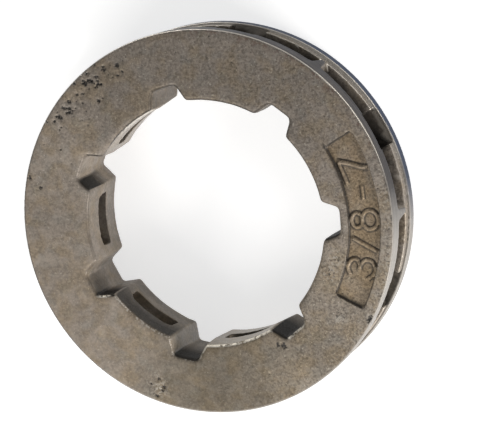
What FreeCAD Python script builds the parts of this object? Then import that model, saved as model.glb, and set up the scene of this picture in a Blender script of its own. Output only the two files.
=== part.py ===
import FreeCAD, Part
import math
import os

# Chainsaw rim sprocket: one cast steel ring that slides on the splines of a clutch drum.
# It lies on its back face with its axis on +Z and its marked face up. A tooth, the spline
# notch under it and the middle of the marking panel lie on +X. Millimetres.

# Rim: the two flanges that the chain's side links ride on
rim_diameter = 36.4
thickness = 8.2
rim_edge_chamfer = 0.12
tooth_count = 7

# Splined bore: lands between notches, straight at the front, then drafted out to the back
land_diameter = 23.14
notch_depth = 1.55
notch_mouth_width = 3.5
notch_floor_width = 2.35
notch_root_round = 0.4
land_corner_round = 0.35
guide_length = 3.0
draft_growth = 0.45
bore_edge_chamfer = 0.2

# Chain pockets: V-shaped slots between the flanges and the teeth, open from the rim to the lands
front_flange_width = 2.2
back_flange_width = 2.62
slot_back = 3.05
slot_width = 2.3
slot_length = 4.7
pocket_corner_round = 0.5

# Teeth: flat tops that taper from the front flange to the back one, with a facet on each side
tooth_front_width = 0.95
tooth_back_width = 0.15
tooth_facet_angle = 40
tooth_facet_depth = 1.0

# Chip windows: wider openings in the middle of each pocket, with a floor above the land
window_length = 3.6
window_floor_wall = 2.5
window_corner_round = 0.15
front_wall_at_window = 1.72

# Back flange: a ground rail at the edge, then an as-cast ledge a little below it
back_rail_width = 1.42
ledge_drop = 0.18
tooth_top_ramp = 0.7

# Marking panel: a shallow recess in the marked face, its corners rounded by a share of its width
panel_angle = 58.3
panel_depth = 0.35
panel_corner_share = 0.14
panel_inner_margin = 0.9
panel_outer_margin = 1.25

# How far a cutting shape runs past the faces that it has to clear, and how close two
# lengths are to count as the same
cut_past = 0.5
same_length = 1e-4

rim_radius = rim_diameter / 2
land_radius = land_diameter / 2
notch_floor_radius = land_radius + notch_depth
pitch_angle = 360 / tooth_count
Z_AXIS = FreeCAD.Vector(0, 0, 1)
ORIGIN = FreeCAD.Vector(0, 0, 0)


def around(shape, first_angle):
    """One copy of a shape for each tooth, turned about the axis from the first angle."""
    copies = []
    for index in range(tooth_count):
        copy = shape.copy()
        copy.rotate(ORIGIN, Z_AXIS, first_angle + index * pitch_angle)
        copies.append(copy)
    return copies


def rim_blank():
    """The solid disc of the rim, turned from its half section with the back ledge in it."""
    edge = rim_edge_chamfer
    ledge_radius = rim_radius - ledge_drop
    corners = [
        ORIGIN,
        FreeCAD.Vector(rim_radius - edge, 0, 0),
        FreeCAD.Vector(rim_radius, 0, edge),
        FreeCAD.Vector(rim_radius, 0, back_rail_width),
        FreeCAD.Vector(ledge_radius, 0, back_rail_width),
        FreeCAD.Vector(ledge_radius, 0, back_flange_width),
        FreeCAD.Vector(rim_radius, 0, back_flange_width + tooth_top_ramp),
        FreeCAD.Vector(rim_radius, 0, thickness - edge),
        FreeCAD.Vector(rim_radius - edge, 0, thickness),
        FreeCAD.Vector(0, 0, thickness),
    ]
    half_section = Part.Face(Part.makePolygon(corners + corners[:1]))
    return half_section.revolve(ORIGIN, Z_AXIS, 360)


def upright_edges(shape, low_radius, high_radius):
    """The edges of a shape that stand along the axis between two distances from it."""
    found = []
    for edge in shape.Edges:
        first = edge.Vertexes[0].Point
        last = edge.Vertexes[-1].Point
        radius = math.hypot(first.x, first.y)
        upright = math.hypot(last.x - first.x, last.y - first.y) < same_length
        if upright and low_radius < radius < high_radius:
            found.append(edge)
    return found


def spline_outline():
    """The bore's outline at the back plane: lands on a circle, with a notch at each tooth."""
    mouth_x = math.sqrt(land_radius**2 - (notch_mouth_width / 2) ** 2)
    flank_slope = (notch_mouth_width - notch_floor_width) / 2 / (notch_floor_radius - mouth_x)
    start_x = mouth_x - cut_past
    start_y = notch_mouth_width / 2 + cut_past * flank_slope
    floor_y = notch_floor_width / 2
    corners = [
        FreeCAD.Vector(start_x, -start_y, 0),
        FreeCAD.Vector(notch_floor_radius, -floor_y, 0),
        FreeCAD.Vector(notch_floor_radius, floor_y, 0),
        FreeCAD.Vector(start_x, start_y, 0),
    ]
    notch = Part.Face(Part.makePolygon(corners + corners[:1])).extrude(Z_AXIS * cut_past)
    plug = Part.makeCylinder(land_radius, cut_past).multiFuse(around(notch, 0)).removeSplitter()
    halfway = land_radius + notch_depth / 2
    plug = plug.makeFillet(notch_root_round, upright_edges(plug, halfway, rim_radius))
    plug = plug.makeFillet(land_corner_round, upright_edges(plug, 0, halfway - notch_root_round))
    back_faces = [face for face in plug.Faces if face.BoundBox.ZMax < cut_past / 2]
    return back_faces[0].OuterWire


def bore_plug():
    """What the bore takes out: a straight guide at the front and a drafted length behind it."""
    outline = spline_outline()
    guide_height = thickness - guide_length
    growth_share = draft_growth / land_radius
    past_share = growth_share * cut_past / guide_height
    guide_outline = outline.copy()
    guide_outline.translate(Z_AXIS * guide_height)
    back_outline = outline.copy()
    back_outline.scale(1 + growth_share + past_share, ORIGIN)
    back_outline.translate(Z_AXIS * -cut_past)
    guide = Part.Face(guide_outline).extrude(Z_AXIS * (guide_length + cut_past))
    drafted = Part.makeLoft([back_outline, guide_outline], True, True)
    return guide.fuse(drafted)


def bore_rim_edges(ring, height):
    """The edges of the ring that bound the bore at one of its two faces."""
    reach = notch_floor_radius + draft_growth + notch_root_round
    found = []
    for edge in ring.Edges:
        box = edge.BoundBox
        level = max(abs(box.ZMin - height), abs(box.ZMax - height)) < same_length
        start = edge.Vertexes[0].Point
        if level and math.hypot(start.x, start.y) < reach:
            found.append(edge)
    return found


def chain_pocket():
    """One V-shaped pocket on +X, narrowing from the rim to its slot in the land."""
    tooth_half_angle = math.asin(tooth_front_width / 2 / rim_radius)
    rim_half_angle = math.radians(pitch_angle / 2) - tooth_half_angle
    rim_x = rim_radius * math.cos(rim_half_angle)
    rim_half_length = rim_radius * math.sin(rim_half_angle)
    bore_half_length = slot_length / 2
    bore_x = math.sqrt(land_radius**2 - bore_half_length**2)

    bore_back = slot_back
    bore_front = slot_back + slot_width
    rim_back = back_flange_width
    rim_front = thickness - front_flange_width

    def section_at(x):
        share = (x - bore_x) / (rim_x - bore_x)
        half_length = bore_half_length + share * (rim_half_length - bore_half_length)
        back = bore_back + share * (rim_back - bore_back)
        front = bore_front + share * (rim_front - bore_front)
        return half_length, back, front

    inner_x = bore_x - cut_past
    outer_x = rim_radius + cut_past
    inner_length, inner_back, inner_front = section_at(inner_x)
    outer_length, outer_back, outer_front = section_at(outer_x)
    pocket = Part.makeWedge(
        -inner_length, inner_x, inner_back, outer_back, -outer_length,
        inner_length, outer_x, inner_front, outer_front, outer_length,
    )
    sloping_edges = [edge for edge in pocket.Edges if edge.BoundBox.YLength > same_length]
    pocket = pocket.makeFillet(pocket_corner_round, sloping_edges)
    pocket.rotate(ORIGIN, Z_AXIS, -90)
    return pocket


def tooth_facet(side):
    """What tapers one side of the tooth on +X: a pyramid from the tooth's back to its front corner."""
    facet_slope = math.tan(math.radians(tooth_facet_angle))
    start_y = tooth_back_width / 2
    front_corner = FreeCAD.Vector(rim_radius, side * tooth_front_width / 2, thickness - front_flange_width)
    outside = FreeCAD.Vector(
        rim_radius + cut_past, side * (start_y - cut_past * facet_slope), back_flange_width
    )
    inside = FreeCAD.Vector(
        rim_radius - tooth_facet_depth, side * (start_y + tooth_facet_depth * facet_slope), back_flange_width
    )
    clear = FreeCAD.Vector(rim_radius + cut_past, 2 * inside.y, back_flange_width)
    sides = [
        (outside, inside, clear),
        (front_corner, outside, inside),
        (front_corner, inside, clear),
        (front_corner, clear, outside),
    ]
    faces = [Part.Face(Part.makePolygon([*corners, corners[0]])) for corners in sides]
    return Part.makeSolid(Part.makeShell(faces))


def chip_window():
    """One window on +X, from its floor above the land out through the rim."""
    floor_radius = land_radius + window_floor_wall
    height = thickness - front_wall_at_window - back_rail_width
    depth = rim_radius + cut_past - floor_radius
    corner = FreeCAD.Vector(floor_radius, -window_length / 2, back_rail_width)
    window = Part.makeBox(depth, window_length, height, corner)
    depth_edges = [edge for edge in window.Edges if abs(edge.BoundBox.XLength - depth) < same_length]
    return window.makeFillet(window_corner_round, depth_edges)


def marking_panel():
    """The recess of the marking panel, centred on +X in the marked face."""
    inner_radius = notch_floor_radius + panel_inner_margin
    outer_radius = rim_radius - panel_outer_margin
    outer_disc = Part.makeCylinder(
        outer_radius,
        panel_depth + cut_past,
        Z_AXIS * (thickness - panel_depth),
        Z_AXIS,
        panel_angle,
    )
    inner_disc = Part.makeCylinder(inner_radius, thickness + 2 * cut_past)
    panel = outer_disc.cut(inner_disc)
    panel.rotate(ORIGIN, Z_AXIS, -panel_angle / 2)
    corner_round = panel_corner_share * (outer_radius - inner_radius)
    return panel.makeFillet(corner_round, upright_edges(panel, 0, rim_radius))


def rim_sprocket():
    """The whole casting."""
    ring = rim_blank().cut(bore_plug())
    for height in (0, thickness):
        ring = ring.makeChamfer(bore_edge_chamfer, bore_rim_edges(ring, height))
    half_pitch = pitch_angle / 2
    cuts = around(chain_pocket(), half_pitch) + around(chip_window(), half_pitch)
    cuts += around(tooth_facet(1), 0) + around(tooth_facet(-1), 0)
    ring = ring.cut(cuts)
    ring = ring.cut(marking_panel())
    return ring.Solids[0]


os.makedirs("parts", exist_ok=True)
sprocket = rim_sprocket()
sprocket.exportStep("parts/rim_sprocket.step")
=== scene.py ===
import math
import random

import bmesh
import bpy
import numpy as np
from mathutils import Euler, Matrix, Vector, kdtree, noise


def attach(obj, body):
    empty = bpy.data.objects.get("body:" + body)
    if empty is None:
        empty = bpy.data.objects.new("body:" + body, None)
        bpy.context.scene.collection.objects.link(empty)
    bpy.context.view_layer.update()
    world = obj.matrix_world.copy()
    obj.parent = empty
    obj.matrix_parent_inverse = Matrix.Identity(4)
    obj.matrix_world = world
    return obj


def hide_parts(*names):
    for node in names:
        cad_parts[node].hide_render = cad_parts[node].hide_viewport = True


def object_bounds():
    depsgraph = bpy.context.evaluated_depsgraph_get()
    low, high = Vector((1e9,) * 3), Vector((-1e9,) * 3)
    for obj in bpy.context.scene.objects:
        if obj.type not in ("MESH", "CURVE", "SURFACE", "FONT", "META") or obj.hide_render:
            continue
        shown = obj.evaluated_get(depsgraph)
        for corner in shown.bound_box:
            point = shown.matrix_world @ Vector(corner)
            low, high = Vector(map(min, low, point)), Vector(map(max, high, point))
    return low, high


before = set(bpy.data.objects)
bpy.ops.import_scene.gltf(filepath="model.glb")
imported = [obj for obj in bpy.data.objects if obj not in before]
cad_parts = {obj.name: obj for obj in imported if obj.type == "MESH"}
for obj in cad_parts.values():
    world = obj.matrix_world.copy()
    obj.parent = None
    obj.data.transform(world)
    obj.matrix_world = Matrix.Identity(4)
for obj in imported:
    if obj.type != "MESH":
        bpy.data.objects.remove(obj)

cad_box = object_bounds()

# The ring: one casting in steel, with its flanges, teeth and splined bore cast together.
# It starts as a copy of the modelled solid, in millimetres while its skin is worked.
MILLIMETRE = 0.001
MERGE_DISTANCE = 0.0005

casting = bmesh.new()
casting.from_mesh(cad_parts["rim_sprocket"].data)
bmesh.ops.scale(casting, vec=(1 / MILLIMETRE,) * 3, verts=casting.verts)
bmesh.ops.remove_doubles(casting, verts=casting.verts, dist=MERGE_DISTANCE)

# The size mark: low ridges on the floor of the marking panel, cast with the ring.
# Each figure is drawn in its own frame, across and up from its foot, with its head to the bore.
# A stroke is a loop or an open line, with its half width and its points.
PANEL_FLOOR_HEIGHT = 7.85
RIDGE_SINK = 0.06
RIDGE_STEPS = 32
FIGURE_FOOT_RADIUS = 17.0
FOOT_BAND = 0.03

figures = {
    "three": (-16.5, [
        (False, 0.23, [(-0.9, 2.4), (-0.4, 2.72), (0.25, 2.66), (0.62, 2.22), (0.35, 1.82), (-0.15, 1.68)]),
        (False, 0.23, [(-0.15, 1.68), (0.5, 1.5), (0.82, 0.95), (0.4, 0.32), (-0.3, 0.24), (-0.9, 0.66)]),
    ]),
    "stroke": (-8.45, [(False, 0.24, [(-0.52, 0.28), (0.46, 2.68)])]),
    "eight": (-0.05, [
        (True, 0.24, [(0.86, 1.04), (0, 1.78), (-0.86, 1.04), (0, 0.28)]),
        (True, 0.23, [(0.66, 2.24), (0, 2.76), (-0.66, 2.24), (0, 1.74)]),
    ]),
    "dash": (9.4, [(False, 0.2, [(-0.6, 1.42), (0.62, 1.28)])]),
    "seven": (18.0, [
        (False, 0.22, [(-1.1, 2.56), (1.02, 2.62)]),
        (False, 0.27, [(1.02, 2.62), (0.62, 1.87), (0.2, 1.25), (-0.12, 0.78), (-0.36, 0.22)]),
    ]),
}

ridge_curve = bpy.data.curves.new("size_mark_ridges", "CURVE")
ridge_curve.dimensions = "3D"
ridge_curve.bevel_depth = 1.0
ridge_curve.resolution_u = RIDGE_STEPS
ridge_curve.use_fill_caps = True
for centre_angle, strokes in figures.values():
    turn = Matrix.Rotation(math.radians(centre_angle), 3, "Z")
    for is_loop, half_width, stroke_points in strokes:
        spline = ridge_curve.splines.new("BEZIER")
        spline.bezier_points.add(len(stroke_points) - 1)
        spline.use_cyclic_u = is_loop
        for bezier_point, (across, up) in zip(spline.bezier_points, stroke_points):
            middle = Vector((FIGURE_FOOT_RADIUS - up, across, PANEL_FLOOR_HEIGHT - RIDGE_SINK))
            bezier_point.co = turn @ middle
            bezier_point.radius = half_width
            bezier_point.handle_left_type = "AUTO"
            bezier_point.handle_right_type = "AUTO"
ridge_object = bpy.data.objects.new("size_mark_ridges", ridge_curve)
bpy.context.scene.collection.objects.link(ridge_object)
ridge_mesh = bpy.data.meshes.new_from_object(
    ridge_object.evaluated_get(bpy.context.evaluated_depsgraph_get())
)
bpy.data.objects.remove(ridge_object)
casting.from_mesh(ridge_mesh)

# The feet of the ridges, where a dark line of painted shade and dirt runs round each stroke
feet = [
    vertex.co.copy() for vertex in ridge_mesh.vertices
    if abs(vertex.co.z - PANEL_FLOOR_HEIGHT + RIDGE_SINK) < FOOT_BAND
]
foot_tree = kdtree.KDTree(len(feet))
for index, foot_place in enumerate(feet):
    foot_tree.insert(foot_place, index)
foot_tree.balance()

# The cast skin: the ring and its size mark become one closed surface, with the small rounds,
# waves and pits of a casting. The rails of the rim are ground true and stay smooth.
VOXEL_SIZE = 0.08
RELIEF_PASSES = 6


def made_mesh(mesh, *modifiers, coarse=()):
    """A copy of a mesh with modifiers applied, each given as its kind and its settings.

    The points listed as coarse form a group of that name."""
    holder = bpy.data.objects.new("holder", mesh)
    bpy.context.scene.collection.objects.link(holder)
    if coarse:
        holder.vertex_groups.new(name="coarse").add(coarse, 1.0, "REPLACE")
    for kind, settings in modifiers:
        modifier = holder.modifiers.new(kind, kind)
        for name, value in settings.items():
            setattr(modifier, name, value)
    made = bpy.data.meshes.new_from_object(
        holder.evaluated_get(bpy.context.evaluated_depsgraph_get())
    )
    bpy.data.objects.remove(holder)
    return made


def mesh_numbers(mesh):
    """The points, normals and edges of a mesh as arrays."""
    points = np.empty(len(mesh.vertices) * 3)
    mesh.vertices.foreach_get("co", points)
    normals = np.empty(len(mesh.vertices) * 3)
    mesh.vertices.foreach_get("normal", normals)
    edges = np.empty(len(mesh.edges) * 2, dtype=int)
    mesh.edges.foreach_get("vertices", edges)
    return points.reshape(-1, 3), normals.reshape(-1, 3), edges.reshape(-1, 2)


def blurred(points, edges, passes):
    """The points, each moved to the middle of its neighbours as often as asked."""
    count = len(points)
    neighbours = np.bincount(edges.ravel(), minlength=count)
    moved = points.copy()
    for _ in range(passes):
        for axis in range(3):
            level = moved[:, axis]
            total = np.bincount(edges[:, 0], weights=level[edges[:, 1]], minlength=count)
            total += np.bincount(edges[:, 1], weights=level[edges[:, 0]], minlength=count)
            moved[:, axis] = total / neighbours
    return moved


def surface_relief(points, normals, edges):
    """How far each point stands out of the surface round it: above 0 on edges, below in hollows."""
    return ((points - blurred(points, edges, RELIEF_PASSES)) * normals).sum(axis=1)


def cast_noise(points, lump_size):
    """Noise between -1 and 1 at each point, in lumps of the given size."""
    return np.array([noise.noise(Vector(point) / lump_size) for point in points])


casting_mesh = bpy.data.meshes.new("casting")
casting.to_mesh(casting_mesh)
casting.free()
skin = made_mesh(
    casting_mesh,
    ("REMESH", {"mode": "VOXEL", "voxel_size": VOXEL_SIZE}),
    ("SMOOTH", {"factor": 0.5, "iterations": 1}),
)

# Gas pits in the marked face, each a place and a size. A pit is a knot of small dents.
# Finer pits are single dents: some over the right and top of the face, some round the large pits.
# A cold crack, a row of dents, starts at a notch and runs on along the edge of the land beside it.
pits = [
    (-10.43, 13.7, 0.42), (-9.4, 13.46, 0.32), (-7.27, 15.19, 0.25), (-12.47, 11.04, 0.3),
    (-13.56, 10.71, 0.28), (-12.98, 11.41, 0.2), (-9.41, 14.24, 0.15), (-10.29, 14.62, 0.2),
    (-8.6, 14.91, 0.2), (-12.36, 12.09, 0.2), (-9.26, 11.89, 0.2), (-11.69, 13.71, 0.15),
    (-14.94, 10.14, 0.15), (-17.17, 4.87, 0.16), (-16.11, 3.84, 0.13), (-7.21, 14.22, 0.1),
    (-10.91, 12.7, 0.1), (-11.0, 11.8, 0.1), (-11.55, 12.61, 0.1), (-14.08, 10.18, 0.12),
    (-6.75, 14.59, 0.1), (-5.77, -14.92, 0.1), (-5.34, -15.66, 0.16), (-6.59, -15.4, 0.1),
    (-5.51, -16.06, 0.13), (-6.1, -16.54, 0.13), (15.26, -9.45, 0.17), (15.34, -9.3, 0.17),
    (15.41, -9.17, 0.17), (15.48, -9.03, 0.17), (6.38, -11.6, 0.16), (6.96, -11.7, 0.24),
    (6.38, -11.6, 0.12), (6.92, -11.62, 0.18), (7.04, -11.74, 0.18), (15.4, -9.2, 0.12),
]
crack = [
    (-11.06, 6.87), (-10.34, 6.78), (-9.53, 6.65), (-8.99, 7.23), (-8.5, 7.95),
    (-7.75, 8.7), (-6.95, 9.38), (-6.15, 9.93), (-5.2, 10.48), (-4.1, 10.99),
]
DENTS_IN_PIT = 12
PIT_SPREAD = 1.2
SMALLEST_DENT = 0.045
DENT_SHARES = (0.1, 0.32)
SPREAD_PITS = 45
SPREAD_PIT_ANGLES = (-70, 160)
SPREAD_PIT_RADII = (12.5, 17.8)
SPREAD_PIT_SIZES = (0.04, 0.075)
CLOSE_PITS = 48
CLOSE_PIT_ANGLE = 131
CLOSE_PIT_ANGLE_SPREAD = 11
CLOSE_PIT_RADIUS = 16.4
CLOSE_PIT_RADIUS_SPREAD = 1.1
CLOSE_PIT_SIZES = (0.05, 0.085)
CRACK_HALF_WIDTH = 0.06
CRACK_STEPS = 14

chance = random.Random(11)
dents = []


def add_dent(dent_angle, dent_reach, dent_size, centre_x=0.0, centre_y=0.0):
    """Adds a dent at an angle and a reach from a centre, which is the ring's own by default."""
    dent_x = centre_x + dent_reach * math.cos(dent_angle)
    dent_y = centre_y + dent_reach * math.sin(dent_angle)
    dents.append((dent_x, dent_y, dent_size))


for pit_x, pit_y, pit_size in pits:
    for _ in range(DENTS_IN_PIT):
        dent_angle = chance.uniform(0, 2 * math.pi)
        dent_reach = pit_size * chance.uniform(0, PIT_SPREAD)
        dent_size = SMALLEST_DENT + pit_size * chance.uniform(*DENT_SHARES)
        add_dent(dent_angle, dent_reach, dent_size, pit_x, pit_y)
for _ in range(SPREAD_PITS):
    dent_angle = math.radians(chance.uniform(*SPREAD_PIT_ANGLES))
    dent_reach = chance.uniform(*SPREAD_PIT_RADII)
    add_dent(dent_angle, dent_reach, chance.uniform(*SPREAD_PIT_SIZES))
for _ in range(CLOSE_PITS):
    dent_angle = math.radians(chance.gauss(CLOSE_PIT_ANGLE, CLOSE_PIT_ANGLE_SPREAD))
    dent_reach = chance.gauss(CLOSE_PIT_RADIUS, CLOSE_PIT_RADIUS_SPREAD)
    add_dent(dent_angle, dent_reach, chance.uniform(*CLOSE_PIT_SIZES))
for (from_x, from_y), (to_x, to_y) in zip(crack, crack[1:]):
    for step in range(CRACK_STEPS):
        share = step / CRACK_STEPS
        dent_x = from_x + share * (to_x - from_x)
        dent_y = from_y + share * (to_y - from_y)
        dents.append((dent_x, dent_y, CRACK_HALF_WIDTH))

# The skin is worked on: waves, chipped edges, the groove at the foot of the back ledge, the dents,
# and the lines along the panel's walls and round its figures.
lowest = np.array(cad_box[0]) / MILLIMETRE
highest = np.array(cad_box[1]) / MILLIMETRE
RIM_RADIUS = highest[0]
FRONT_HEIGHT = highest[2]
DENT_RAGGED_SIZE = 0.13


def dent_depths(points, normals):
    """How deep the dents go at each point of the marked face."""
    depths = np.zeros(len(points))
    face_indices = np.flatnonzero((points[:, 2] > FRONT_HEIGHT - 0.5) & (normals[:, 2] > 0.1))
    face_points = points[face_indices]
    face_depths = np.zeros(len(face_indices))
    ragged = 1.3 + cast_noise(face_points, DENT_RAGGED_SIZE)
    for dent_x, dent_y, dent_size in dents:
        gap = np.hypot(face_points[:, 0] - dent_x, face_points[:, 1] - dent_y)
        dent = dent_size * np.clip(ragged - gap / dent_size, 0, 1)
        face_depths = np.maximum(face_depths, dent)
    depths[face_indices] = face_depths
    return depths


PANEL_INNER_RADIUS = 14.02
PANEL_OUTER_RADIUS = 16.95
PANEL_HALF_ANGLE = 29.15
PANEL_STRETCH_START = 13.85
PANEL_STRETCH_END = 17.1
PANEL_STRETCH_HALF_ANGLE = 30
FIGURE_LINE_WIDTH = 0.075
WALL_LINE_WIDTH = 0.09
OUTER_LINE_WIDTH = 0.07
OUTER_LINE_END_ANGLE = 8


def angles_round_axis(points):
    """The angle of each point round the ring's axis, in degrees from +X."""
    return np.degrees(np.arctan2(points[:, 1], points[:, 0]))


def on_panel(points, radius):
    """Which points lie in the stretch of the ring that the marking panel takes up."""
    in_stretch = (radius > PANEL_STRETCH_START) & (radius < PANEL_STRETCH_END)
    return in_stretch & (np.abs(angles_round_axis(points)) < PANEL_STRETCH_HALF_ANGLE)


def panel_lines(points, normals):
    """How dark the panel's lines of painted shade and dirt are at each point: round its figures and along
    its walls.
    """
    lines = np.zeros(len(points))
    radius = np.hypot(points[:, 0], points[:, 1])
    angle = angles_round_axis(points)
    in_panel = (points[:, 2] > PANEL_FLOOR_HEIGHT - 0.15) & (points[:, 2] < FRONT_HEIGHT - 0.03)
    in_panel &= on_panel(points, radius) & (normals[:, 2] > -0.1)
    for index in np.flatnonzero(in_panel):
        if points[index, 2] < PANEL_FLOOR_HEIGHT + 0.12:
            foot_level = Vector((points[index, 0], points[index, 1], PANEL_FLOOR_HEIGHT - RIDGE_SINK))
            gap = foot_tree.find(foot_level)[2]
            lines[index] = np.clip(1.4 - gap / FIGURE_LINE_WIDTH, 0, 1)
    inner_gap = np.abs(radius - PANEL_INNER_RADIUS)
    end_gap = np.abs(np.radians(np.abs(angle) - PANEL_HALF_ANGLE)) * radius
    wall_line = np.clip(1.5 - np.minimum(inner_gap, end_gap) / WALL_LINE_WIDTH, 0, 1)
    outer_gap = np.abs(radius - PANEL_OUTER_RADIUS)
    outer_line = 0.5 * np.clip(1.4 - outer_gap / OUTER_LINE_WIDTH, 0, 1) * (angle < OUTER_LINE_END_ANGLE)
    wall_line = np.maximum(wall_line, outer_line)
    lines[in_panel] = np.maximum(lines, wall_line)[in_panel]
    return lines


RAIL_BAND = 0.12
WAVE_DEPTH = 0.02
WAVE_SIZE = 2.2
CHIP_DEPTH = 0.1
CHIP_SIZE = 0.6
LEDGE_FOOT_HEIGHT = 1.5
LEDGE_GROOVE_DEPTH = 0.14
LINE_DEPTH = 0.05

points, normals, edges = mesh_numbers(skin)
radius = np.hypot(points[:, 0], points[:, 1])
edge_share = np.clip(surface_relief(points, normals, edges) / 0.05, 0, 1)
depth = WAVE_DEPTH * (1 + cast_noise(points, WAVE_SIZE))
depth += CHIP_DEPTH * edge_share * np.clip(cast_noise(points, CHIP_SIZE) - 0.1, 0, 1)
on_ledge = (radius > RIM_RADIUS - 0.4) & (radius < RIM_RADIUS - 0.1) & (np.abs(normals[:, 2]) < 0.7)
ledge_foot = np.clip(1.2 - np.abs(points[:, 2] - LEDGE_FOOT_HEIGHT) / 0.1, 0, 1)
depth += LEDGE_GROOVE_DEPTH * on_ledge * ledge_foot
as_cast = np.clip((RIM_RADIUS - radius) / RAIL_BAND - 0.5, 0, 1)
depth *= as_cast
fine_marks = dent_depths(points, normals) + LINE_DEPTH * panel_lines(points, normals)
depth += fine_marks
points -= normals * depth[:, None]

# The front edges of the bore come out of the mould round
BORE_EDGE_RADIUS = 14.0
BORE_ROUND_PASSES = 14

soft = np.clip((BORE_EDGE_RADIUS - radius) / 0.4, 0, 1)
soft *= np.clip((points[:, 2] - FRONT_HEIGHT + 1.0) / 0.5, 0, 1)
points += soft[:, None] * (blurred(points, edges, BORE_ROUND_PASSES) - points)
points = np.clip(points, lowest, highest)
skin.vertices.foreach_set("co", points.ravel())
skin.update()

# The measures of the skin: numbers stored at each point that tell the steel where it is worn, dirty,
# ground or rusty, and where light and shade are painted. First come the places on the ring that they speak
# of.
TOOTH_COUNT = 7
POCKET_BACK_HEIGHT = 1.3
POCKET_FRONT_WALL = 1.72
POCKET_MOUTH = 0.25
POCKET_FLOOR_RADIUS = 13.8
SLOT_HALF_ANGLE = 12.5
NOTCH_HALF_ANGLE = 9.5
NOTCH_INNER_RADIUS = 11.75
NOTCH_OUTER_RADIUS = 13.9
NOTCH_MIDDLE_HALF_ANGLE = 9
LAND_END_RADIUS = 12.1
FLAT_FACE_LIMIT = 0.93

points, normals, edges = mesh_numbers(skin)
radius = np.hypot(points[:, 0], points[:, 1])
height = points[:, 2]
angle = angles_round_axis(points)
outward = (points[:, 0] * normals[:, 0] + points[:, 1] * normals[:, 1]) / radius
upward = normals[:, 2]
pitch = 360 / TOOTH_COUNT
pocket_angle = np.abs(angle % pitch - pitch / 2)
between_flanges = (height > POCKET_BACK_HEIGHT) & (height < FRONT_HEIGHT - POCKET_FRONT_WALL)
between_flanges &= radius < RIM_RADIUS - POCKET_MOUTH
in_pocket = (radius > POCKET_FLOOR_RADIUS) | (pocket_angle < SLOT_HALF_ANGLE)
in_pocket &= between_flanges & (outward > -0.5)
in_notch = (radius > NOTCH_INNER_RADIUS) & (radius < NOTCH_OUTER_RADIUS)
in_notch &= np.abs(pocket_angle - pitch / 2) < NOTCH_HALF_ANGLE
in_groove = (radius > RIM_RADIUS - 0.45) & (radius < RIM_RADIUS - 0.12)
in_groove &= np.abs(height - LEDGE_FOOT_HEIGHT) < 0.13
on_land = np.clip(-4 - 5 * outward, 0, 1) * (radius < LAND_END_RADIUS)
on_face = height > FRONT_HEIGHT - 0.4
bore_edge = (radius < BORE_EDGE_RADIUS) * (height > FRONT_HEIGHT - 0.8)
bore_edge = bore_edge * np.clip(4 * upward - 0.6, 0, 1) * (upward < FLAT_FACE_LIMIT)
facing_plus_y = np.clip(2.2 * normals[:, 1] - 0.4, 0, 1)


def round_ring(*pairs):
    """A value that changes round the ring, given as pairs of an angle and the value there."""
    return np.interp(angle, [pair[0] for pair in pairs], [pair[1] for pair in pairs], period=360)


def patch_share(patch_x, patch_y, patch_size):
    """How much of a soft round patch each point gets: 1 in its middle, fading outwards."""
    gap = np.hypot(points[:, 0] - patch_x, points[:, 1] - patch_y)
    return np.exp(-((gap / patch_size) ** 2))


# Flaked skin: along the rim at the lower right, and in a few rough patches
FLAKED_RIM_START = 16.7
FLAKED_RIM_WIDTH = 1.5
PATCH_FLAKES = 1.4
rough_patches = [
    (-5.9, -15.7, 1.0), (11.9, -4.8, 0.9), (12.6, -3.3, 0.7), (-13.86, -2.37, 0.2), (12.6, -8.9, 0.8),
]
flaked = np.clip((radius - FLAKED_RIM_START) / FLAKED_RIM_WIDTH, 0, 1)
flaked *= round_ring((-100, 0), (-70, 0.4), (-45, 0.6), (-10, 1.3), (12, 0.9), (30, 0))
for patch_x, patch_y, patch_size in rough_patches:
    flaked = np.maximum(flaked, PATCH_FLAKES * patch_share(patch_x, patch_y, patch_size))

# Tone: how light the skin is, with soft patches, dark stripes in the top notch, painted light on notch
# walls at the lower left, painted light and shade on the lands, and painted shade and dirt on the bore's
# top and left edge
MEAN_TONE = 1.06
RIDGE_RADIANS_PER_MILLIMETRE = 13
tone_patches = [
    (8.3, -15.0, 1.7, 0.3), (5.6, -15.6, 1.1, 0.18), (4.5, -16.2, 0.8, -0.22), (10.6, -12.0, 1.3, -0.12),
]
skin_tone = round_ring(
    (-150, 0.36), (-125, 0.44), (-108, -0.06), (-90, -0.24), (-50, 0.0), (-20, 0.26),
    (25, 0.0), (50, -0.2), (90, -0.14), (125, -0.06), (150, 0.34), (180, 0.24),
)
for patch_x, patch_y, patch_size, patch_tone in tone_patches:
    skin_tone += patch_tone * patch_share(patch_x, patch_y, patch_size)
in_top_notch = in_notch & (np.abs(angle - 2 * pitch) < NOTCH_MIDDLE_HALF_ANGLE) & (upward < 0.5)
ridge_crests = np.clip(np.sin(radius * RIDGE_RADIANS_PER_MILLIMETRE), 0, 1)
ridge_crests *= np.clip((height - 3) / 3, 0, 1)
notch_ridges = in_top_notch * (0.12 + 0.45 * ridge_crests)
# Painted light on the notch walls that face +X at the lower left
notch_painted_light = in_notch * (normals[:, 0] > 0.5) * round_ring(
    (-160, 0), (-158, 0.15), (-145, 0.15), (-112, 0.35), (-95, 0.35), (-90, 0)
)
# Painted light on the lands at the bottom and top left, and painted shade on the land at the left
land_painted_light = on_land * round_ring(
    (-97, 0), (-92, 1.1), (-62, 1.1), (-58, 0), (100, 0), (110, 0.15), (143, 0.15), (160, -0.06),
    (205, -0.06), (212, 0),
)
# Painted shade and dirt on the bore's front edge at its top and left
edge_shade_and_dirt = bore_edge * round_ring(
    (30, 0), (60, 0.5), (112, 0.5), (118, 0), (130, 0), (145, 0.3), (215, 0.3), (230, 0)
)
tone_and_painted_light = (MEAN_TONE + skin_tone) * (1 - notch_ridges) * (1 + notch_painted_light) * (1 + land_painted_light) * (1 - edge_shade_and_dirt)
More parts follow.
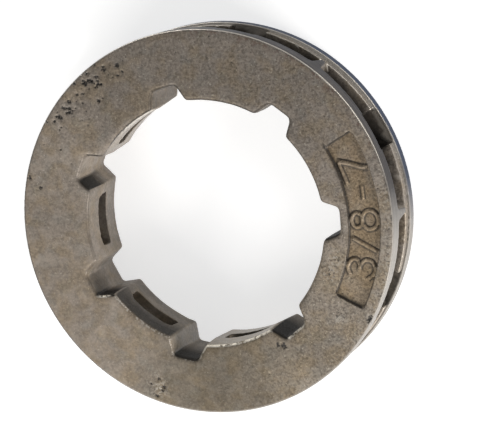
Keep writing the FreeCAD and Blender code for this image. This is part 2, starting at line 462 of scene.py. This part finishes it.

# Ground rails, painted paler at the lower right where the light falls, and the burr that the grinding left
# on the rim's edges
ground = np.clip(1.5 - (RIM_RADIUS - radius) / RAIL_BAND, 0, 1)
# Painted light: the lower right, where the rails are painted paler
painted_lit_side = round_ring((-130, 0), (-110, 1), (-8, 1), (9, 0))
burr = (radius > RIM_RADIUS - 0.32) * np.clip((upward - 0.25) / 0.2, 0, 1)
burr = burr * ((upward < FLAT_FACE_LIMIT) | (height < 2))
burr *= round_ring((-120, 0.05), (-10, 0.1), (12, 0.4), (20, 1), (60, 1), (120, 0.5))

# Worn edges, painted glints along parts of the bore's front edge and on a band of the top-left land, and
# the walls of the bore that are rubbed smooth
BRIGHT_LAND_START = 6.6
BRIGHT_LAND_END = 7.95
relief = np.clip(surface_relief(points, normals, edges) / 0.06, -1, 1)
worn_share = np.where(
    (radius > BORE_EDGE_RADIUS) & (height < 7), 0.8, (height > 7.2) * (0.06 + 0.74 * painted_lit_side)
)
worn = np.clip((relief - 0.4) / 0.5, 0, 1) * worn_share * (1 - 0.6 * on_panel(points, radius))
bright_land = on_land * np.clip((height - BRIGHT_LAND_START) / 0.5, 0, 1) * (height < BRIGHT_LAND_END)
# Painted highlights: bright lines on parts of the bore's front edge and a bright band on the top-left land
painted_glint = np.maximum(
    bore_edge * round_ring(
        (-149.5, 0), (-148, 1), (-146.5, 1), (-145.5, 0), (-97, 0), (-94, 1), (-62, 1), (-60, 0),
        (-57, 0), (-56, 0.8), (-48, 0.8), (-46, 0),
    ),
    bright_land * round_ring((109, 0), (112, 0.8), (126, 0.8), (134, 0)),
)
# Painted highlights: bright dots along the bore's front edge at the lower left
painted_sparkle = bore_edge * round_ring((-147, 0), (-144, 1), (-100, 1), (-95, 0))
rubbed = np.maximum(
    on_land * round_ring(
        (-155, 0.1), (-105, 0.1), (-95, 1), (-60, 1), (100, 0.6), (110, 1), (143, 1), (155, 0.2), (195, 0.2)
    ),
    in_notch * (normals[:, 0] > 0.8) * (np.abs(angle + 2 * pitch) < NOTCH_MIDDLE_HALF_ANGLE),
)

# Painted shade: dark in the pockets and the groove, and on the walls of the bore that face +Y
POCKET_SHADE_FADE = 0.6
SHADE_LENGTH = 3.2
# Painted shade in the pockets, strongest at the upper right
pocket_shade = in_pocket * np.clip((RIM_RADIUS - POCKET_MOUTH - radius) / POCKET_SHADE_FADE, 0, 1) * round_ring(
    (-150, 0.35), (-128, 0.28), (-100, 0.6), (0, 0.6), (20, 0.94), (90, 0.94), (110, 0.5), (150, 0.4)
)
shade_start = round_ring((-170, 3), (-80, 3.2), (-60, 0.8), (-40, 0.8), (140, 2.2), (165, 2.2))
near_front = np.clip((height - shade_start) / SHADE_LENGTH, 0, 1)
land_shade = round_ring((-160, 0.5), (-148, 0.9), (-112, 0.9), (-100, 0.3), (-60, 0.15), (-40, 0.5))
shaded_land = land_shade * on_land * (0.15 + 0.85 * near_front)
shaded = facing_plus_y * np.maximum(in_notch * near_front, shaded_land)

# Rust in a thin line beside the rim's edge, and the panel's own tint below the face
RUST_LINE_INSET = 0.22
RUST_LINE_HALF_WIDTH = 0.09
rust_line = np.abs(radius - RIM_RADIUS + RUST_LINE_INSET) < RUST_LINE_HALF_WIDTH
rusty = rust_line * on_face * round_ring((12, 0), (22, 1), (85, 1), (100, 0))
panel = on_panel(points, radius) * np.clip((FRONT_HEIGHT - 0.08 - height) / 0.1, 0, 1) * (height > 7.6)

measures = {
    "relief": relief,
    "worn": worn,
    "olive": round_ring((-130, 0.2), (-100, 0.9), (-70, 0.8), (-40, 0.4), (0, 0.2), (20, 0)),
    "rusty": rusty,
    "painted_glint": painted_glint,
    "polished": ground * (1 - 0.65 * painted_lit_side),
    "matt": ground * painted_lit_side,
    "tone_and_painted_light": tone_and_painted_light,
    "grainy": round_ring((-140, 0.5), (-90, 0.8), (-45, 1.5), (0, 1.4), (60, 1.3), (110, 1.1), (150, 0.8)),
    "ground": ground,
    "burr": burr,
    "dent": np.clip(dent_depths(points, normals) / 0.06, 0, 1),
    "lines": panel_lines(points, normals),
    "panel": panel,
    "hollow_shade": np.maximum(0.9 * in_groove, pocket_shade),
    "shaded": shaded,
    "rubbed": rubbed,
    "painted_sparkle": painted_sparkle,
    "painted_lit_side": painted_lit_side,
    "back_rail": np.clip(2 - height, 0, 1),
    "flaked": flaked * on_face,
}
for name, values in measures.items():
    measure = skin.attributes.new(name, "FLOAT", "POINT")
    measure.data.foreach_set("value", values)

# The finished skin is thinned, apart from its fine marks and the front edges that show
TRIANGLE_BUDGET = 190000
fine = (fine_marks > 0) | (on_panel(points, radius) & (height > PANEL_FLOOR_HEIGHT - 0.2))
fine |= (height > FRONT_HEIGHT - 0.6) & (np.abs(relief) > 0.2)
triangles = sum(len(polygon.vertices) - 2 for polygon in skin.polygons)
thinning = {"ratio": TRIANGLE_BUDGET / triangles, "vertex_group": "coarse"}
ring_mesh = made_mesh(skin, ("DECIMATE", thinning), coarse=np.flatnonzero(~fine).tolist())
ring_mesh.transform(Matrix.Scale(MILLIMETRE, 4))
ring_mesh.shade_smooth()
ring = bpy.data.objects.new("cast_ring", ring_mesh)
bpy.context.scene.collection.objects.link(ring)
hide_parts("rim_sprocket")
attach(ring, "root")

# The steel: a mottled brown-grey cast skin with painted shade in its hollows, bare on its worn edges,
# and grey ground metal on the rails with painted light at the lower right and a painted blue reflection.
steel = bpy.data.materials.new("cast_steel")
steel.use_nodes = True
steel_nodes = steel.node_tree.nodes
steel_links = steel.node_tree.links
surface = steel_nodes["Principled BSDF"]
steel_place = steel_nodes.new("ShaderNodeTexCoord")


def steel_noise(scale, detail, stretch=(1, 1, 1)):
    """Noise over the steel, in lumps of one metre divided by the scale and the stretch."""
    texture = steel_nodes.new("ShaderNodeTexNoise")
    texture.inputs["Scale"].default_value = scale
    texture.inputs["Detail"].default_value = detail
    mapping = steel_nodes.new("ShaderNodeMapping")
    mapping.inputs["Scale"].default_value = stretch
    steel_links.new(steel_place.outputs["Object"], mapping.inputs["Vector"])
    steel_links.new(mapping.outputs["Vector"], texture.inputs["Vector"])
    return texture.outputs["Fac"]


def steel_range(value, low, high, start=0.0, end=1.0):
    """A value stretched so that low becomes the start and high the end."""
    stretch = steel_nodes.new("ShaderNodeMapRange")
    stretch.inputs["From Min"].default_value = low
    stretch.inputs["From Max"].default_value = high
    stretch.inputs["To Min"].default_value = start
    stretch.inputs["To Max"].default_value = end
    steel_links.new(value, stretch.inputs["Value"])
    return stretch.outputs["Result"]


def steel_spots(scale, detail, low, high, strength=1.0):
    """Spots of noise that rise from nothing at the low level to their strength at the high one."""
    return steel_range(steel_noise(scale, detail), low, high, 0.0, strength)


def steel_part(value, strength):
    """A value from 0 to 1 made weaker, up to the given strength."""
    return steel_range(value, 0, 1, 0.0, strength)


def steel_blend(share, first, second, kind="MIX"):
    """Two colours blended by a share; a colour is a socket or three numbers."""
    blend = steel_nodes.new("ShaderNodeMix")
    blend.data_type = "RGBA"
    blend.blend_type = kind
    sockets = {socket.identifier: socket for socket in blend.inputs}
    for name, colour in (("A_Color", first), ("B_Color", second)):
        if isinstance(colour, tuple):
            sockets[name].default_value = (*colour, 1)
        else:
            steel_links.new(colour, sockets[name])
    steel_links.new(share, sockets["Factor_Float"])
    return next(socket for socket in blend.outputs if socket.identifier == "Result_Color")


def steel_measure(name):
    """A measure of the skin that was stored on the mesh."""
    measure = steel_nodes.new("ShaderNodeAttribute")
    measure.attribute_name = name
    return measure.outputs["Fac"]


def steel_math(operation, first, second):
    """Two values put together by one operation."""
    node = steel_nodes.new("ShaderNodeMath")
    node.operation = operation
    steel_links.new(first, node.inputs[0])
    steel_links.new(second, node.inputs[1])
    return node.outputs["Value"]


def steel_most(first, second):
    """The higher of two values."""
    return steel_math("MAXIMUM", first, second)


def steel_times(first, second):
    """Two values multiplied."""
    return steel_math("MULTIPLY", first, second)


def steel_mix(share, first, second):
    """Two values blended by a share; the second is a number."""
    mix = steel_nodes.new("ShaderNodeMix")
    mix.data_type = "FLOAT"
    steel_links.new(share, mix.inputs[0])
    steel_links.new(first, mix.inputs[2])
    mix.inputs[3].default_value = second
    return mix.outputs[0]


# The cast skin's own colour: clouds and patches, then finer mottles, grain and specks
DARK_SKIN = (0.125, 0.104, 0.086)
LIGHT_SKIN = (0.24, 0.203, 0.168)
CLOUD_SKIN = (0.225, 0.192, 0.162)
PATCH_SKIN = (0.115, 0.098, 0.082)
MOTTLE_LIGHT = (0.27, 0.232, 0.195)
MOTTLE_DARK = (0.105, 0.088, 0.072)
GRAIN_LIGHT = (0.29, 0.252, 0.215)
PALE_SPECK = (0.42, 0.385, 0.335)
DARK_SPECK_AND_HOLLOW_SHADE = (0.05, 0.044, 0.039)
WARM_TINT = (1, 0.93, 0.79)
COOL_TINT = (0.91, 0.96, 1)
OLIVE_TINT = (1, 0.98, 0.88)
PANEL_TINT = (1, 0.925, 0.8)

grain_strength = steel_measure("grainy")
grain = steel_spots(6500, 2, 0.3, 0.7)
mottles = steel_times(grain_strength, steel_spots(3300, 3, 0.44, 0.6, 0.6))
fine_grain = steel_times(grain_strength, steel_part(grain, 0.5))
dark_mottles = steel_times(grain_strength, steel_spots(4700, 2, 0.48, 0.66, 0.5))
dark_specks = steel_times(grain_strength, steel_spots(3900, 2, 0.62, 0.72, 0.35))
pale_specks = steel_times(grain_strength, steel_spots(4800, 2, 0.63, 0.73, 0.55))
colour = steel_blend(steel_spots(420, 4, 0.3, 0.7), DARK_SKIN, LIGHT_SKIN)
colour = steel_blend(steel_spots(130, 2, 0.35, 0.65, 0.4), colour, CLOUD_SKIN)
colour = steel_blend(steel_spots(1100, 4, 0.42, 0.6, 0.75), colour, PATCH_SKIN)
colour = steel_blend(mottles, colour, MOTTLE_LIGHT)
colour = steel_blend(fine_grain, colour, GRAIN_LIGHT)
colour = steel_blend(dark_mottles, colour, MOTTLE_DARK)
colour = steel_blend(dark_specks, colour, DARK_SPECK_AND_HOLLOW_SHADE)
colour = steel_blend(pale_specks, colour, PALE_SPECK)
colour = steel_blend(steel_spots(560, 4, 0.45, 0.62, 0.8), colour, WARM_TINT, "MULTIPLY")
colour = steel_blend(steel_spots(760, 4, 0.5, 0.68, 0.7), colour, COOL_TINT, "MULTIPLY")
colour = steel_blend(steel_measure("olive"), colour, OLIVE_TINT, "MULTIPLY")
colour = steel_blend(steel_measure("panel"), colour, PANEL_TINT, "MULTIPLY")
# The tone carries the painted light and shade of the notch walls, the lands and the bore's front edge
toned = steel_nodes.new("ShaderNodeVectorMath")
toned.operation = "SCALE"
steel_links.new(colour, toned.inputs["Vector"])
steel_links.new(steel_measure("tone_and_painted_light"), toned.inputs["Scale"])
colour = toned.outputs["Vector"]

# Flakes, chips, rust and worn edges over it, with painted glints and painted shade: in the hollows, the
# pockets, the groove, on the bore's walls, in the dents and, with dirt, in the panel's lines
FLAKE = (0.46, 0.42, 0.36)
RUST = (0.1, 0.055, 0.042)
# The dark of the painted shade, and of the dirt in the panel's lines
SHADE_AND_DIRT_DARK = (0.03, 0.027, 0.024)
BARE_STEEL_AND_GLINT = (0.62, 0.57, 0.5)
PAINTED_GLINT_COLOUR = (0.85, 0.79, 0.68)

flake_strength = steel_measure("flaked")
flakes = steel_times(flake_strength, steel_spots(3600, 2, 0.5, 0.62, 0.6))
chips = steel_times(flake_strength, steel_spots(4100, 2, 0.58, 0.66, 0.8))
rust_spots = steel_times(steel_measure("rusty"), steel_spots(2900, 2, 0.5, 0.58, 0.6))
worn_edges = steel_times(steel_measure("worn"), steel_spots(1700, 2, 0.4, 0.6))
# Painted highlights: sparkle dots and glints on the bore's edges and the top-left land
painted_sparkles = steel_times(steel_measure("painted_sparkle"), steel_spots(3300, 2, 0.52, 0.6))
painted_glints = steel_times(steel_measure("painted_glint"), steel_spots(2600, 2, 0.36, 0.52))
bright_edges = steel_most(steel_most(painted_sparkles, painted_glints), worn_edges)
hollow_shade_share = steel_measure("hollow_shade")
shade_share = steel_measure("shaded")
colour = steel_blend(flakes, colour, FLAKE)
colour = steel_blend(chips, colour, DARK_SPECK_AND_HOLLOW_SHADE)
colour = steel_blend(rust_spots, colour, RUST)
# Painted shade in the hollows of the skin
colour = steel_blend(steel_range(steel_measure("relief"), -0.5, -1, 0.0, 0.5), colour, DARK_SPECK_AND_HOLLOW_SHADE)
colour = steel_blend(steel_part(bright_edges, 0.8), colour, BARE_STEEL_AND_GLINT)
# Painted shade in the pockets and the groove
colour = steel_blend(hollow_shade_share, colour, SHADE_AND_DIRT_DARK)
# Painted shade on the walls of the bore that face +Y
colour = steel_blend(shade_share, colour, SHADE_AND_DIRT_DARK)
# Painted highlight: the glints made brighter still
colour = steel_blend(painted_glints, colour, PAINTED_GLINT_COLOUR)
# Painted shade and dirt: dark lines round the figures and along the panel's walls
colour = steel_blend(steel_part(steel_measure("lines"), 0.85), colour, SHADE_AND_DIRT_DARK)
# Painted shade: the dents are painted dark
colour = steel_blend(steel_measure("dent"), colour, SHADE_AND_DIRT_DARK)

# The ground rails, streaked round the rim, with painted light at the lower right and a painted blue
# sky reflection on the back rail, and the bare burr at their edges
RAIL_DARK = (0.12, 0.111, 0.104)
RAIL_LIGHT = (0.21, 0.195, 0.182)
PAINTED_SKY_BLUE = (0.12, 0.14, 0.19)
PALE_RAIL_DARK = (0.27, 0.255, 0.235)
PALE_RAIL_LIGHT = (0.36, 0.34, 0.315)
STREAK_STRETCH = (0.02, 0.02, 1)

ground_share = steel_measure("ground")
pale_share = steel_measure("painted_lit_side")
burr_share = steel_measure("burr")
streaks = steel_range(steel_noise(7000, 2, STREAK_STRETCH), 0.35, 0.65)
rail_colour = steel_blend(streaks, RAIL_DARK, RAIL_LIGHT)
# Painted reflection: the back rail is tinted blue as if it mirrored a blue sky
rail_colour = steel_blend(steel_measure("back_rail"), rail_colour, PAINTED_SKY_BLUE)
# Painted light: the rails are paler on the lower right, where the light falls
pale_rail = steel_blend(streaks, PALE_RAIL_DARK, PALE_RAIL_LIGHT)
rail_colour = steel_blend(pale_share, rail_colour, pale_rail)
colour = steel_blend(ground_share, colour, rail_colour)
colour = steel_blend(burr_share, colour, BARE_STEEL_AND_GLINT)
steel_links.new(colour, surface.inputs["Base Color"])

# Gloss: full on the cast skin and the burr, less on the rails and least in the painted shade,
# with a thin smooth coat where the bore is rubbed
FULL_SHEEN = (1, 1, 1)
RAIL_SHEEN = (0.3, 0.31, 0.33)
PALE_RAIL_SHEEN = (0.2, 0.2, 0.2)
SHADE_SHEEN = (0.15, 0.15, 0.15)
RUBBED_ROUGHNESS = 0.25

rail_sheen = steel_blend(pale_share, RAIL_SHEEN, PALE_RAIL_SHEEN)
sheen = steel_blend(burr_share, steel_blend(ground_share, FULL_SHEEN, rail_sheen), FULL_SHEEN)
sheen = steel_blend(steel_most(hollow_shade_share, shade_share), sheen, SHADE_SHEEN)
steel_links.new(sheen, surface.inputs["Specular Tint"])
steel_links.new(steel_part(steel_measure("rubbed"), 0.5), surface.inputs["Coat Weight"])
surface.inputs["Coat Roughness"].default_value = RUBBED_ROUGHNESS

# Bare metal is smooth and the cast skin rough, with a fine bump for its grain that the rails lack
BARE_ROUGHNESS = 0.3
MATT_METAL = 0.1
SMOOTH_LEVEL = 0.5
GRAIN_HEIGHT = 0.00004

bare = steel_most(steel_most(steel_measure("polished"), burr_share), steel_part(bright_edges, 0.5))
cast_roughness = steel_range(grain, 0, 1, 0.45, 0.65)
steel_links.new(steel_mix(bare, cast_roughness, BARE_ROUGHNESS), surface.inputs["Roughness"])
metal = steel_mix(steel_measure("matt"), steel_range(bare, 0, 1, 0.4, 0.9), MATT_METAL)
steel_links.new(metal, surface.inputs["Metallic"])
bump = steel_nodes.new("ShaderNodeBump")
bump.inputs["Distance"].default_value = GRAIN_HEIGHT
steel_links.new(steel_range(grain_strength, 0, 1, 0.1, 0.6), bump.inputs["Strength"])
skin_height = steel_mix(ground_share, steel_noise(4200, 4), SMOOTH_LEVEL)
steel_links.new(skin_height, bump.inputs["Height"])
steel_links.new(bump.outputs["Normal"], surface.inputs["Normal"])
ring_mesh.materials.clear()
ring_mesh.materials.append(steel)

# The floor: a plain white table that the ring lies on. What the camera and the metal see of it
# is lifted to white, and its shadow stays.
FLOOR_SIZE = 2.0
FLOOR_GREY = (0.65, 0.65, 0.65, 1)
FLOOR_ROUGHNESS = 0.9
FLOOR_LIFT = 0.65

table = bmesh.new()
bmesh.ops.create_grid(table, x_segments=1, y_segments=1, size=FLOOR_SIZE / 2)
table_mesh = bpy.data.meshes.new("floor")
table.to_mesh(table_mesh)
table.free()
floor = bpy.data.objects.new("floor", table_mesh)
bpy.context.scene.collection.objects.link(floor)
paint = bpy.data.materials.new("white_table")
paint.use_nodes = True
paint_nodes = paint.node_tree.nodes
paint_links = paint.node_tree.links
paint_surface = paint_nodes["Principled BSDF"]
paint_surface.inputs["Base Color"].default_value = FLOOR_GREY
paint_surface.inputs["Roughness"].default_value = FLOOR_ROUGHNESS
paint_surface.inputs["Specular IOR Level"].default_value = 0.0
paint_surface.inputs["Emission Color"].default_value = (1, 1, 1, 1)
ray = paint_nodes.new("ShaderNodeLightPath")
seen = paint_nodes.new("ShaderNodeMath")
seen.operation = "MAXIMUM"
paint_links.new(ray.outputs["Is Camera Ray"], seen.inputs[0])
paint_links.new(ray.outputs["Is Glossy Ray"], seen.inputs[1])
seen_through = paint_nodes.new("ShaderNodeMath")
seen_through.operation = "MAXIMUM"
paint_links.new(seen.outputs["Value"], seen_through.inputs[0])
paint_links.new(ray.outputs["Is Transmission Ray"], seen_through.inputs[1])
lift = paint_nodes.new("ShaderNodeMath")
lift.operation = "MULTIPLY"
lift.inputs[1].default_value = FLOOR_LIFT
paint_links.new(seen_through.outputs["Value"], lift.inputs[0])
paint_links.new(lift.outputs["Value"], paint_surface.inputs["Emission Strength"])
table_mesh.materials.append(paint)

# The studio light: a soft dome and four lamps. A wide lamp stands at the lower left and a strong
# one at the lower right, and two low strips light the rim from the upper right and the upper left.
DOME_STRENGTH = 0.27
DOME_COLOUR = (0.94, 0.97, 1, 1)

scene = bpy.context.scene
scene.view_settings.view_transform = "Standard"
dome = bpy.data.worlds.new("dome")
scene.world = dome
dome.use_nodes = True
dome.node_tree.nodes["Background"].inputs["Color"].default_value = DOME_COLOUR
dome.node_tree.nodes["Background"].inputs["Strength"].default_value = DOME_STRENGTH


def soft_lamp(name, lamp_place, lamp_width, lamp_height, power, lamp_colour):
    """A flat lamp of the given width and height at a place in millimetres, turned to the ring."""
    lamp = bpy.data.lights.new(name, "AREA")
    lamp.shape = "RECTANGLE"
    lamp.size = lamp_width * MILLIMETRE
    lamp.size_y = lamp_height * MILLIMETRE
    lamp.energy = power
    lamp.color = lamp_colour
    holder = bpy.data.objects.new(name, lamp)
    holder.location = Vector(lamp_place) * MILLIMETRE
    holder.rotation_euler = (-Vector(lamp_place)).to_track_quat("-Z", "Y").to_euler()
    scene.collection.objects.link(holder)


soft_lamp("wide_lamp", (-111, -193, 201), 150, 150, 0.45, (1, 0.97, 0.93))
soft_lamp("side_lamp", (231, -162, 103), 100, 100, 0.9, (1, 0.97, 0.94))
soft_lamp("edge_lamp", (230, 173, 83), 170, 20, 0.1, (1, 0.98, 0.95))
soft_lamp("back_lamp", (-139, 261, 52), 160, 20, 0.18, (1, 0.98, 0.95))

# The camera: at the photograph's place over the ring, looking down on the marked face.
# Its place is in millimetres and its turn in degrees.
CAMERA_PLACE = (63.616, 32.259, 184.300)
CAMERA_TURN = (-11.1441, 17.6952, -4.7)
LENS = 146.76
SENSOR_WIDTH = 36

camera_data = bpy.data.cameras.new("camera")
camera_data.lens = LENS
camera_data.sensor_width = SENSOR_WIDTH
camera_data.sensor_fit = "HORIZONTAL"
camera_data.clip_start = MILLIMETRE
camera = bpy.data.objects.new("camera", camera_data)
camera.location = Vector(CAMERA_PLACE) * MILLIMETRE
camera.rotation_euler = Euler([math.radians(turn_angle) for turn_angle in CAMERA_TURN])
scene.collection.objects.link(camera)
scene.camera = camera
